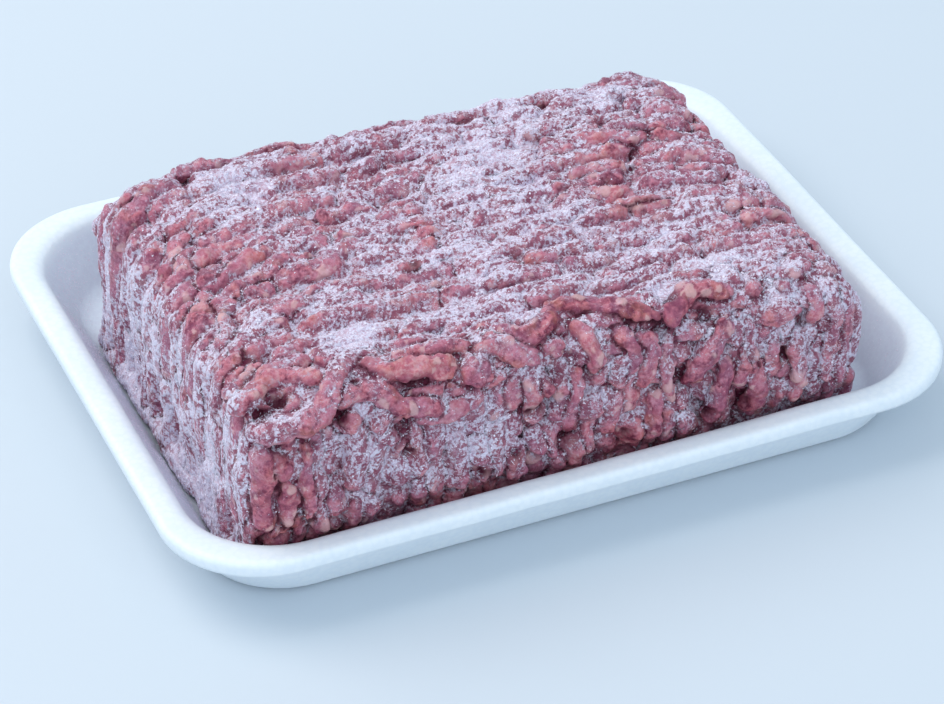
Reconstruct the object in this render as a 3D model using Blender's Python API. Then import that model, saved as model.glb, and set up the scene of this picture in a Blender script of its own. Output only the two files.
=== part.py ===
"""A pack of frozen minced meat: one block of pressed strands lying in a shallow foam tray.

Metres, +Z up. The origin is on the table under the middle of the tray. The tray's long side runs
along X, and the strands on top of the block run the same way, then hang down its two ends.
"""

import math

import bmesh
import bpy
from mathutils import Vector, noise

MM = 0.001

# Tray, outside
TRAY_LENGTH = 225 * MM
TRAY_WIDTH = 180 * MM
TRAY_HEIGHT = 21.6 * MM
CORNER_RADIUS = 28.5 * MM
# Each millimetre further in takes this much off the corner radius
CORNER_TIGHTENING = 0.42
CORNER_STEPS = 7
LONG_SIDE_STEPS = 5
SHORT_SIDE_STEPS = 4

# Tray, section
RIM_WIDTH = 7.4 * MM
LIP_HEIGHT = 4.6 * MM
LIP_OVERHANG = 4.8 * MM
LIP_ROUND = 1.6 * MM
BASE_INSET = 12.6 * MM
BASE_ROUND = 3.2 * MM
FLOOR_THICKNESS = 3.6 * MM
FLOOR_INSET = 21.5 * MM
WALL_FOOT_INSET = 15.6 * MM
WALL_FOOT_HEIGHT = 7.2 * MM

# Meat block
MEAT_LEFT = -93.0 * MM
MEAT_RIGHT = 82.0 * MM
MEAT_FRONT = -80.5 * MM
MEAT_BACK = 51.5 * MM
MEAT_TOP_LEFT = 62.5 * MM
MEAT_TOP_RIGHT = 59.0 * MM
TOP_CROWN = 1.0 * MM
LEFT_ROUND = 12.0 * MM
RIGHT_ROUND = 13.0 * MM
FRONT_ROUND = 11.0 * MM
BACK_ROUND = 23.0 * MM
LEFT_BULGE = 3.5 * MM
RIGHT_BULGE = 3.5 * MM
BACK_BULGE = 3.0 * MM
GAP = 0.35 * MM

# Strands
STRAND_PITCH = 6.2 * MM
STRAND_DEPTH = 1.7 * MM
STRAND_WANDER = 1.6 * MM
LUMP_DEPTH = 1.5 * MM
LUMP_SIZE = 13.0 * MM

# The block's grid
COLUMNS = 20
STEPS_PER_STRAND = 4
LEVELS = 6


def clear_scene():
    for item in list(bpy.data.objects):
        bpy.data.objects.remove(item, do_unlink=True)


def material(name, colour, roughness):
    made = bpy.data.materials.new(name)
    made.use_nodes = True
    shader = made.node_tree.nodes["Principled BSDF"]
    shader.inputs["Base Color"].default_value = (*colour, 1.0)
    shader.inputs["Roughness"].default_value = roughness
    shader.inputs["Metallic"].default_value = 0.0
    return made


def mix(a, b, t):
    return a + (b - a) * t


def smooth(t):
    t = min(1.0, max(0.0, t))
    return t * t * (3.0 - 2.0 * t)


def arc(centre, radius, start, end, steps):
    """Points of a quarter round in the section plane, as (inset, height)."""
    points = []
    for step in range(steps + 1):
        angle = math.radians(mix(start, end, step / steps))
        points.append((centre[0] + radius * math.cos(angle), centre[1] + radius * math.sin(angle)))
    return points


# ---- tray ----


def tray_section():
    """The wall's section from the middle of the underside, out round the lip, and in along the floor."""
    under_lip = TRAY_HEIGHT - LIP_HEIGHT
    section = []
    section += arc((BASE_INSET + BASE_ROUND, BASE_ROUND), BASE_ROUND, 270, 205, 3)
    section.append((LIP_OVERHANG + 0.9 * MM, under_lip - 0.5 * MM))
    section.append((LIP_OVERHANG - 0.3 * MM, under_lip + 0.5 * MM))
    section.append((1.0 * MM, under_lip))
    section.append((0.2 * MM, under_lip + 0.5 * MM))
    section += arc((LIP_ROUND, TRAY_HEIGHT - LIP_ROUND), LIP_ROUND, 180, 90, 3)
    section.append((RIM_WIDTH - 2.4 * MM, TRAY_HEIGHT))
    section += inner_wall()
    return section


def inner_wall():
    """The inner face from the rim's rolled edge down to the floor."""
    wall = [
        (RIM_WIDTH - 0.8 * MM, TRAY_HEIGHT - 0.35 * MM),
        (RIM_WIDTH + 0.4 * MM, TRAY_HEIGHT - 1.1 * MM),
        (RIM_WIDTH + 1.4 * MM, TRAY_HEIGHT - 2.4 * MM),
        (WALL_FOOT_INSET, WALL_FOOT_HEIGHT),
        (WALL_FOOT_INSET + 1.5 * MM, FLOOR_THICKNESS + 1.5 * MM),
        (WALL_FOOT_INSET + 3.3 * MM, FLOOR_THICKNESS + 0.4 * MM),
        (FLOOR_INSET, FLOOR_THICKNESS),
    ]
    return wall


def corner_radius(inset):
    return CORNER_RADIUS - CORNER_TIGHTENING * inset


def outline(inset):
    """A rounded rectangle that far inside the tray's outer edge, anticlockwise seen from above."""
    radius = corner_radius(inset)
    half_x = TRAY_LENGTH / 2 - inset - radius
    half_y = TRAY_WIDTH / 2 - inset - radius
    points = []
    for quarter, (side_x, side_y) in enumerate(((1, 1), (-1, 1), (-1, -1), (1, -1))):
        for step in range(CORNER_STEPS + 1):
            angle = math.radians(90 * quarter + 90 * step / CORNER_STEPS)
            x = side_x * half_x + radius * math.cos(angle)
            y = side_y * half_y + radius * math.sin(angle)
            points.append((x, y))
        sides = LONG_SIDE_STEPS if quarter % 2 == 0 else SHORT_SIDE_STEPS
        start = points[-1]
        reach = 2 * half_x if quarter % 2 == 0 else 2 * half_y
        toward = ((-1, 0), (0, -1), (1, 0), (0, 1))[quarter]
        for step in range(1, sides):
            part = reach * step / sides
            points.append((start[0] + toward[0] * part, start[1] + toward[1] * part))
    return points


def build_tray():
    shape = bmesh.new()
    rings = []
    for inset, height in tray_section():
        rings.append([shape.verts.new((x, y, height)) for x, y in outline(inset)])
    count = len(rings[0])
    for lower, upper in zip(rings, rings[1:]):
        for at in range(count):
            after = (at + 1) % count
            shape.faces.new((lower[at], lower[after], upper[after], upper[at]))
    shape.faces.new(list(reversed(rings[0])))
    shape.faces.new(rings[-1])
    return finish(shape, "tray", material("foam", (0.86, 0.91, 0.95), 0.55), 40)


# ---- meat ----


def wall_inset(height):
    """How far in the tray's inner face is at this height; at the rim's width above the tray."""
    wall = inner_wall()
    if height >= wall[0][1]:
        return wall[0][0]
    for (inset_a, height_a), (inset_b, height_b) in zip(wall, wall[1:]):
        if height >= height_b:
            return mix(inset_a, inset_b, (height_a - height) / (height_a - height_b))
    return wall[-1][0]


def keep_inside(point):
    """Moves a point that would touch the tray's inner face in, to leave a small gap."""
    if point.z > TRAY_HEIGHT + 1.5 * MM:
        return point
    inset = wall_inset(point.z) + GAP
    radius = corner_radius(inset)
    core_x = TRAY_LENGTH / 2 - inset - radius
    core_y = TRAY_WIDTH / 2 - inset - radius
    nearest = Vector((max(-core_x, min(core_x, point.x)), max(-core_y, min(core_y, point.y)), point.z))
    away = point - nearest
    if away.length > radius:
        point = nearest + away.normalized() * radius
    return point


def rounding(across, along):
    """Where a plan position sits in the block's rounded edge: 0 on the flat top, 1 on the outline.

    Each side has its own radius, so a plan corner is an ellipse's quarter. Also gives the position
    after the square grid's corner is drawn in to that ellipse, the way out, and the radius there.
    """
    half_x = (MEAT_RIGHT - MEAT_LEFT) / 2
    half_y = (MEAT_BACK - MEAT_FRONT) / 2
    radius_x = RIGHT_ROUND if across > 0 else LEFT_ROUND
    radius_y = BACK_ROUND if along > 0 else FRONT_ROUND
    part_x = max(0.0, 1 - half_x * (1 - abs(across)) / radius_x)
    part_y = max(0.0, 1 - half_y * (1 - abs(along)) / radius_y)
    length = math.hypot(part_x, part_y)
    x = across * half_x
    y = along * half_y
    if length == 0:
        return 0.0, Vector((x, y)), Vector((0.0, 0.0)), radius_x
    share = max(part_x, part_y)
    drawn_x = part_x * share / length
    drawn_y = part_y * share / length
    if part_x > 0 and part_y > 0:
        x = math.copysign(half_x - radius_x * (1 - drawn_x), across)
        y = math.copysign(half_y - radius_y * (1 - drawn_y), along)
    out = Vector((math.copysign(drawn_x / radius_x, across), math.copysign(drawn_y / radius_y, along)))
    radius = (radius_x * part_x**2 + radius_y * part_y**2) / length**2
    return share, Vector((x, y)), out.normalized(), radius


def block_point(across, along, up):
    """Where a grid position (-1..1, -1..1, 0..1) of the block lies, and the way its surface faces."""
    share, plan, out, radius = rounding(across, along)
    floor = FLOOR_THICKNESS + GAP
    crown = TOP_CROWN * (1 - across * across) * (1 - along * along)
    top = mix(MEAT_TOP_LEFT, MEAT_TOP_RIGHT, smooth((across + 1) / 2)) + crown
    drop = radius * (1 - math.sqrt(max(0.0, 1 - share * share)))
    z = mix(floor, top - drop, up)
    tilt = share if up == 1.0 else 1.0
    normal = Vector((out.x * tilt, out.y * tilt, math.sqrt(max(0.0, 1 - tilt * tilt))))
    swell = math.sin(math.pi * (z - floor) / (top - floor))
    x = (MEAT_LEFT + MEAT_RIGHT) / 2 + plan.x
    y = (MEAT_FRONT + MEAT_BACK) / 2 + plan.y
    x += swell * (RIGHT_BULGE * smooth(across) - LEFT_BULGE * smooth(-across))
    y += swell * BACK_BULGE * smooth(along)
    return Vector((x, y, z)), normal.normalized()


def relief(point, normal):
    """Height of the strands and lumps over the block's plain form, never above it."""
    wander = STRAND_WANDER * noise.noise(point / (30 * MM) + Vector((3.1, 0, 7.7)))
    phase = (point.y - MEAT_FRONT + wander) / STRAND_PITCH
    ridge = abs(math.sin(math.pi * phase))
    lumps = noise.noise(point / LUMP_SIZE + Vector((11.0, 5.0, 2.0)))
    ends = max(abs(normal.x), abs(normal.z))
    strands = STRAND_DEPTH * (ridge - 1.0) * smooth(ends * 1.6 - 0.4)
    return strands + LUMP_DEPTH * (lumps - 0.6) * (0.45 + 0.55 * abs(normal.y))


def across_positions():
    """Columns from end to end, closer together where the strands bend down."""
    found = []
    for step in range(COLUMNS + 1):
        even = 2 * step / COLUMNS - 1
        found.append(mix(even, math.sin(math.pi / 2 * even), 0.7))
    return found


def build_meat():
    shape = bmesh.new()
    columns = across_positions()
    rows = round((MEAT_BACK - MEAT_FRONT) / STRAND_PITCH) * STEPS_PER_STRAND
    verts = {}

    def vert(column, row, level):
        key = (column, row, level)
        if key not in verts:
            place, normal = block_point(columns[column], 2 * row / rows - 1, level / LEVELS)
            place = place + normal * relief(place, normal)
            if level == 0:
                place.z = FLOOR_THICKNESS + GAP
            verts[key] = shape.verts.new(keep_inside(place))
        return verts[key]

    for row in range(rows):
        for column in range(COLUMNS):
            shape.faces.new((
                vert(column, row, LEVELS),
                vert(column + 1, row, LEVELS),
                vert(column + 1, row + 1, LEVELS),
                vert(column, row + 1, LEVELS),
            ))
    around = [(column, 0) for column in range(COLUMNS)]
    around += [(COLUMNS, row) for row in range(rows)]
    around += [(column, rows) for column in range(COLUMNS, 0, -1)]
    around += [(0, row) for row in range(rows, 0, -1)]
    for at, here in enumerate(around):
        there = around[(at + 1) % len(around)]
        for level in range(LEVELS):
            shape.faces.new((
                vert(*here, level),
                vert(*there, level),
                vert(*there, level + 1),
                vert(*here, level + 1),
            ))
    shape.faces.new([vert(*here, 0) for here in reversed(around)])
    return finish(shape, "meat", material("mince", (0.42, 0.13, 0.14), 0.5), 60)


def finish(shape, name, look, sharp_degrees):
    mesh = bpy.data.meshes.new(name)
    shape.to_mesh(mesh)
    shape.free()
    mesh.materials.append(look)
    mesh.shade_smooth()
    mesh.set_sharp_from_angle(angle=math.radians(sharp_degrees))
    piece = bpy.data.objects.new(name, mesh)
    bpy.context.scene.collection.objects.link(piece)
    return piece


def main():
    clear_scene()
    build_tray()
    build_meat()


main()
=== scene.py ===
"""Looks of the frozen mince pack: foam tray, pressed strands of mince and the frost on them.

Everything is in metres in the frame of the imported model. The block's form and the tray's section
repeat the named sizes of the CAD source, and every piece is placed from the frame's own boxes.
"""

import math

import bpy
import numpy as np
from mathutils import Matrix, Vector
from mathutils.kdtree import KDTree


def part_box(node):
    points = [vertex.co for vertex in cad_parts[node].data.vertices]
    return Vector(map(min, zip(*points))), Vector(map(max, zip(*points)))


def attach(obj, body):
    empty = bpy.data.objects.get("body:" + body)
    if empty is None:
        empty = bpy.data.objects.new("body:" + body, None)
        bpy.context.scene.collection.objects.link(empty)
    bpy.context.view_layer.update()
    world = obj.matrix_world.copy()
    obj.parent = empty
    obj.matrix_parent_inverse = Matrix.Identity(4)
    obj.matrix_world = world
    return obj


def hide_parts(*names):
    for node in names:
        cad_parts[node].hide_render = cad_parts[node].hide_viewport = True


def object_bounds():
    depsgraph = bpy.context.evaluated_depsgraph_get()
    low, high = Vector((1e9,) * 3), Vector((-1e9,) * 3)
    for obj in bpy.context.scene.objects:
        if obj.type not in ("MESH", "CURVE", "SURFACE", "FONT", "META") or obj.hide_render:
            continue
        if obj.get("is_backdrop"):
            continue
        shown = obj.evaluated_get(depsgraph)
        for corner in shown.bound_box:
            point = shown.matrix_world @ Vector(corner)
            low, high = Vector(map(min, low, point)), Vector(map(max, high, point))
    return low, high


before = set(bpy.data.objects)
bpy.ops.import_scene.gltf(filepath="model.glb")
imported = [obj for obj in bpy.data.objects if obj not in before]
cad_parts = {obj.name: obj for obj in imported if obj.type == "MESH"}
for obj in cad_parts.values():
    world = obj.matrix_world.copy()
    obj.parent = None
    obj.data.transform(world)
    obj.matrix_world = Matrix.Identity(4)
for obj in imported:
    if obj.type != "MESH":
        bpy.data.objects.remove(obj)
CAD_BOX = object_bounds()

MM = 0.001
TRAY_LOW, TRAY_HIGH = (np.array(corner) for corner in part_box("tray"))
MEAT_LOW, MEAT_HIGH = (np.array(corner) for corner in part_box("meat"))

# ---- tray sizes ----
TRAY_HALF = (TRAY_HIGH[:2] - TRAY_LOW[:2]) / 2
TRAY_HEIGHT = TRAY_HIGH[2]
CORNER_RADIUS = 28.5 * MM
CORNER_TIGHTENING = 0.42
RIM_WIDTH = 7.4 * MM
LIP_HEIGHT = 4.6 * MM
LIP_OVERHANG = 4.8 * MM
LIP_ROUND = 1.6 * MM
BASE_INSET = 12.6 * MM
BASE_ROUND = 3.2 * MM
FLOOR_THICKNESS = 3.6 * MM
FLOOR_INSET = 21.5 * MM
WALL_FOOT_INSET = 15.6 * MM
WALL_FOOT_HEIGHT = 7.2 * MM

# ---- block sizes ----
LEFT = -93.8 * MM
RIGHT = 82.5 * MM
FRONT = -80.2 * MM
BACK = 51.5 * MM
TOP_LEFT = 61.8 * MM
TOP_RIGHT = 58.8 * MM
LEFT_ROUND = 11.0 * MM
RIGHT_ROUND = 12.5 * MM
FRONT_ROUND = 13.0 * MM
BACK_ROUND = 23.0 * MM
LEFT_CORNER = 8.0 * MM
RIGHT_CORNER = 13.0 * MM
FLOOR = FLOOR_THICKNESS + 0.4 * MM
STRAND = 2.95 * MM
ROW_PITCH = 5.8 * MM
COLUMN_PITCH = 5.6 * MM
STRAND_STEP = 1.3 * MM
SWELL_HEIGHT = 50 * MM
FRONT_FOOT_INSET = 11 * MM
HERO_LIFT = 0.95
CORE_DEPTH = 4.6 * MM
LEFT_CORE_DEPTH = 2.2 * MM
VOXEL = 0.6 * MM
NEAR_POINTS = 9
PIECE_QUADS = 95000
BARE_STRENGTH = 0.65

# ---- frost crystals ----
TRAY_GRAINS = 7000
GRAINS = 28000
CLUMPS = 9000
NEEDLES = 9000
GRAIN_LIFT = 0.12
GRAIN_FLATTENING = 0.6

random = np.random.default_rng(41)


# ---- small maths ----


def mix(a, b, t):
    return a + (b - a) * t


def smooth(t):
    t = np.clip(t, 0.0, 1.0)
    return t * t * (3.0 - 2.0 * t)


def unit(vectors):
    length = np.linalg.norm(vectors, axis=-1, keepdims=True)
    return vectors / np.maximum(length, 1e-12)


def way_along(line):
    """How far along the line each of its points is."""
    return np.concatenate([[0], np.cumsum(np.linalg.norm(np.diff(line, axis=0), axis=1))])


def lattice(cell, salt):
    """A repeatable number from 0 to 1 for each whole-numbered cell. Each salt gives another pattern."""
    cell = cell.astype(np.int64)
    mixed = cell[..., 0] * 374761393 + cell[..., 1] * 668265263 + cell[..., 2] * 1442695041
    mixed = (mixed + salt * 974634777) & 0xFFFFFFFF
    mixed = ((mixed ^ (mixed >> 13)) * 1274126177) & 0xFFFFFFFF
    mixed = ((mixed ^ (mixed >> 15)) * 1103515245) & 0xFFFFFFFF
    return (mixed ^ (mixed >> 16)) / 4294967295.0


def noise(points, size, salt):
    """Smooth noise from -1 to 1 with features of that size."""
    scaled = np.asarray(points) / size + 1000.5
    low = np.floor(scaled)
    part = scaled - low
    part = part * part * (3 - 2 * part)
    total = 0.0
    for corner in np.ndindex(2, 2, 2):
        step = np.array(corner)
        weight = np.prod(np.where(step == 1, part, 1 - part), axis=-1)
        total = total + weight * lattice(low + step, salt)
    return total * 2 - 1


def drift(points, size, salt):
    """Smooth noise along each axis."""
    return np.stack([noise(points, size, salt + axis) for axis in range(3)], axis=1)


def bits(points, size, salt):
    """Round cells: distance to the nearest centre, how clear of the next, and two numbers of its own."""
    scaled = np.asarray(points) / size + 1000.5
    home = np.floor(scaled)
    nearest = np.full(len(scaled), 9.0)
    second = np.full(len(scaled), 9.0)
    owner = np.zeros_like(home)
    for offset in np.ndindex(3, 3, 3):
        cell = home + np.array(offset) - 1
        centre = cell + np.stack([lattice(cell, salt + axis) for axis in (1, 2, 3)], axis=-1)
        gap = np.linalg.norm(scaled - centre, axis=-1)
        closer = gap < nearest
        second = np.where(closer, nearest, np.minimum(second, gap))
        owner = np.where(closer[:, None], cell, owner)
        nearest = np.where(closer, gap, nearest)
    return nearest, second - nearest, lattice(owner, salt + 7), lattice(owner, salt + 8)


# ---- meshes and pieces ----


def triangle_normals(verts, triangles):
    """Each triangle's normal, as long as twice its area."""
    a, b, c = (verts[triangles[:, at]] for at in range(3))
    return np.cross(b - a, c - a)


def shared_normals(normals, faces, count):
    """The normals of the points, from those of the faces round each."""
    columns = [sum(np.bincount(corner, axis, count) for corner in faces.T) for axis in normals.T]
    return unit(np.stack(columns, axis=1))


def make_mesh(name, verts, faces, look, replaced=None, attributes=None, smooth_shading=True):
    """A piece from arrays of points and faces (all triangles or all quads), riding on the one body."""
    faces = np.asarray(faces, np.int32)
    mesh = bpy.data.meshes.new(name)
    mesh.vertices.add(len(verts))
    mesh.vertices.foreach_set("co", np.asarray(verts, np.float32).ravel())
    mesh.loops.add(faces.size)
    mesh.loops.foreach_set("vertex_index", faces.ravel())
    mesh.polygons.add(len(faces))
    mesh.polygons.foreach_set("loop_start", np.arange(0, faces.size, faces.shape[1], dtype=np.int32))
    mesh.update(calc_edges=True)
    mesh.validate()
    mesh.polygons.foreach_set("use_smooth", np.full(len(mesh.polygons), smooth_shading))
    for key, values in (attributes or {}).items():
        layer = mesh.attributes.new(key, "FLOAT", "POINT")
        layer.data.foreach_set("value", np.asarray(values, np.float32))
    mesh.materials.append(look)
    piece = bpy.data.objects.new(name, mesh)
    bpy.context.scene.collection.objects.link(piece)
    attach(piece, "root")
    if replaced:
        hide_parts(replaced)
    return piece


# ---- tray ----


def arc(centre, radius, start, end, steps):
    angles = np.radians(np.linspace(start, end, steps + 1))
    return [(centre[0] + radius * math.cos(a), centre[1] + radius * math.sin(a)) for a in angles]


def inner_wall():
    """The inner face's section from the rim down to the floor, as (inset, height)."""
    return [
        (RIM_WIDTH - 0.8 * MM, TRAY_HEIGHT - 0.35 * MM),
        (RIM_WIDTH + 0.4 * MM, TRAY_HEIGHT - 1.1 * MM),
        (RIM_WIDTH + 1.4 * MM, TRAY_HEIGHT - 2.4 * MM),
        (WALL_FOOT_INSET, WALL_FOOT_HEIGHT),
        (WALL_FOOT_INSET + 1.5 * MM, FLOOR_THICKNESS + 1.5 * MM),
        (WALL_FOOT_INSET + 3.3 * MM, FLOOR_THICKNESS + 0.4 * MM),
        (FLOOR_INSET, FLOOR_THICKNESS),
    ]


def tray_section():
    """The tray's section from the middle of its base out and round the rim, as (inset, height)."""
    under_lip = TRAY_HEIGHT - LIP_HEIGHT
    section = [
        (BASE_INSET + BASE_ROUND + 12 * MM, 0.0),
        *arc((BASE_INSET + BASE_ROUND, BASE_ROUND), BASE_ROUND, 270, 205, 4),
        ((BASE_INSET + LIP_OVERHANG) / 2 + 0.6 * MM, under_lip / 2 + 0.4 * MM),
        (LIP_OVERHANG + 0.9 * MM, under_lip - 0.5 * MM),
        (LIP_OVERHANG - 0.3 * MM, under_lip + 0.5 * MM),
        (1.0 * MM, under_lip),
        (0.2 * MM, under_lip + 0.5 * MM),
        *arc((LIP_ROUND, TRAY_HEIGHT - LIP_ROUND), LIP_ROUND, 180, 90, 4),
        (RIM_WIDTH - 2.4 * MM, TRAY_HEIGHT),
        *inner_wall(),
        (FLOOR_INSET + 14 * MM, FLOOR_THICKNESS),
    ]
    return np.array(section)


def curve_through(points, step):
    """A smooth curve through the points, with a point about every step of its length."""
    points = np.asarray(points, float)
    padded = np.vstack([2 * points[0] - points[1], points, 2 * points[-1] - points[-2]])
    pieces = []
    for at in range(1, len(padded) - 2):
        before, start, end, after = padded[at - 1 : at + 3]
        t = np.linspace(0, 1, 12, endpoint=False)[:, None]
        pieces.append(
            0.5
            * (
                2 * start
                + (end - before) * t
                + (2 * before - 5 * start + 4 * end - after) * t**2
                + (3 * start - before - 3 * end + after) * t**3
            )
        )
    dense = np.vstack([*pieces, points[-1:]])
    return respaced(dense, step)


def respaced(line, step):
    """The same line with its points evenly spaced."""
    lengths = way_along(line)
    wanted = np.linspace(0, lengths[-1], max(3, int(round(lengths[-1] / step)) + 1))
    return np.stack([np.interp(wanted, lengths, column) for column in line.T], axis=1)


def outline(inset, corner_steps, side_step):
    """A rounded rectangle that far inside the tray's edge."""
    radius = CORNER_RADIUS - CORNER_TIGHTENING * inset
    half = TRAY_HALF - inset - radius
    long_steps = max(1, int(2 * TRAY_HALF[0] / side_step))
    short_steps = max(1, int(2 * TRAY_HALF[1] / side_step))
    points = []
    for quarter, side in enumerate(((1, 1), (-1, 1), (-1, -1), (1, -1))):
        angles = np.radians(90 * quarter + np.linspace(0, 90, corner_steps + 1))
        way = np.stack([np.cos(angles), np.sin(angles)], axis=1)
        points.extend(np.array(side) * half + radius * way)
        steps = long_steps if quarter % 2 == 0 else short_steps
        reach = 2 * (half[0] if quarter % 2 == 0 else half[1])
        toward = np.array(((-1, 0), (0, -1), (1, 0), (0, 1))[quarter])
        start = points[-1]
        for step in range(1, steps):
            points.append(start + toward * reach * step / steps)
    return np.array(points)


def build_tray(look):
    section = curve_through(tray_section(), 0.9 * MM)
    rings = []
    for inset, height in section:
        plan = outline(inset, 16, 4 * MM)
        rings.append(np.column_stack([plan, np.full(len(plan), height)]))
    count = len(rings[0])
    verts = np.vstack(rings)
    # Moulded foam is never quite flat: a slow waviness, kept off the underside
    wave = 0.22 * MM * noise(verts, 45 * MM, 5) + 0.10 * MM * noise(verts, 14 * MM, 6)
    verts[:, 2] += wave * smooth((verts[:, 2] - 1 * MM) / (6 * MM))
    verts = np.vstack([verts, [0, 0, 0], [0, 0, FLOOR_THICKNESS]])
    faces = []
    for ring in range(len(rings) - 1):
        here = ring * count + np.arange(count)
        after = ring * count + (np.arange(count) + 1) % count
        faces.append(np.stack([here, after, after + count, here + count], axis=1))
    quads = np.vstack(faces)
    triangles = np.vstack([quads[:, [0, 1, 2]], quads[:, [0, 2, 3]]])
    first = np.arange(count)
    last = (len(rings) - 1) * count + np.arange(count)
    under = np.stack([np.roll(first, -1), first, np.full(count, len(verts) - 2)], axis=1)
    inside = np.stack([last, np.roll(last, -1), np.full(count, len(verts) - 1)], axis=1)
    triangles = np.vstack([triangles, under, inside])
    inset = np.append(np.repeat(section[:, 0], count), (0, FLOOR_INSET))
    ring = np.append(np.repeat(np.arange(len(rings)), count), (0, len(rings)))
    # How far onto the inner wall each point lies: the foam's painted shade lies there, and so does the
    # tray frost
    within = smooth((inset - RIM_WIDTH) / (3 * MM)) * (ring > np.argmax(section[:, 1]))
    make_mesh("tray_foam", verts, triangles, look, "tray", {"inside": within})
    return verts, triangles, within


def build_tray_frost(surface, look):
    """Frost shed on the tray's inner walls, most of it at the left end."""
    verts, faces, within = surface
    normals = shared_normals(triangle_normals(verts, faces), faces, len(verts))
    near_left = smooth((-TRAY_HALF[0] + 42 * MM - verts[:, 0]) / (30 * MM))
    liking = within * (0.12 + near_left) * (0.5 + 0.8 * noise(verts, 9 * MM, 91)).clip(0.05)
    liking[verts[:, 2] < FLOOR_THICKNESS + 0.3 * MM] = 0
    places, ways = scatter(TRAY_GRAINS, verts, faces, normals, liking)
    points, shapes = grains(places, ways, 0.10 * MM + 0.2 * MM * random.random(TRAY_GRAINS) ** 2)
    make_mesh("tray_frost", points, shapes, look, smooth_shading=False)


def wall_inset(height):
    """How far in the tray's inner face is at each height."""
    wall = np.array(inner_wall())[::-1]
    return np.interp(height, wall[:, 1], wall[:, 0])


def keep_inside(points, gap=0.2 * MM):
    """Moves points that would be in the tray's wall or floor just clear of it."""
    inset = wall_inset(points[:, 2]) + gap
    radius = CORNER_RADIUS - CORNER_TIGHTENING * inset
    core = TRAY_HALF[None] - inset[:, None] - radius[:, None]
    nearest = np.clip(points[:, :2], -core, core)
    away = points[:, :2] - nearest
    length = np.linalg.norm(away, axis=1)
    over = (length > radius) & (points[:, 2] < TRAY_HEIGHT + 0.5 * MM)
    moved = points.copy()
    moved[over, :2] = nearest[over] + away[over] / length[over, None] * radius[over, None]
    moved[:, 2] = np.maximum(moved[:, 2], FLOOR_THICKNESS + gap)
    return moved


# ---- the block's form ----


def rounding(radius, share):
    """How far a round edge has fallen away, at a share of the way over it."""
    return radius * (1 - np.sqrt(1 - share**2))


def ridge_height(x):
    return mix(TOP_LEFT, TOP_RIGHT, smooth((x - LEFT) / (RIGHT - LEFT)))


def top_height(x, y):
    """Height of the block's top over a plan position, with its rounded back edge."""
    back = np.clip((y - (BACK - BACK_ROUND)) / BACK_ROUND, 0, 0.999)
    place = np.stack(np.broadcast_arrays(x, y, 0.0), axis=-1)
    return ridge_height(x) - rounding(BACK_ROUND, back) + 0.9 * MM * noise(place, 38 * MM, 14)


def swell(z, most):
    """How far a standing face swells out at this height."""
    return most * np.sin(np.pi * np.clip((z - FLOOR) / SWELL_HEIGHT, 0, 1))


def front_point(x, s):
    """The front of the block at a place along it and a distance s over its ridge, with the way out.

    s is 0 where the top starts to round over, and under 0 further back on the top.
    """
    x, s = np.broadcast_arrays(np.asarray(x, float), np.asarray(s, float))
    angle = np.clip(s / FRONT_ROUND, 0, np.pi / 2)
    below = np.maximum(0, s - FRONT_ROUND * np.pi / 2)
    z = ridge_height(x) - FRONT_ROUND * (1 - np.cos(angle)) - below
    y = FRONT + FRONT_ROUND * (1 - np.sin(angle)) - np.minimum(s, 0)
    y = y + np.clip((TRAY_HEIGHT - z) / TRAY_HEIGHT, 0, 1) * FRONT_FOOT_INSET
    turn_left = np.clip(1 - (x - LEFT + 1 * MM) / LEFT_CORNER, 0, 1)
    turn_right = np.clip(1 - (RIGHT + 1 * MM - x) / RIGHT_CORNER, 0, 1)
    y = y + rounding(LEFT_CORNER, turn_left) + rounding(RIGHT_CORNER, turn_right)
    z = z - 9 * MM * turn_right**2 * np.cos(angle)
    way = np.stack([turn_right * 0.8 - turn_left * 0.8, -np.sin(angle), np.cos(angle)], axis=-1)
    return np.stack([x, y, z], axis=-1), unit(way)


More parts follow.
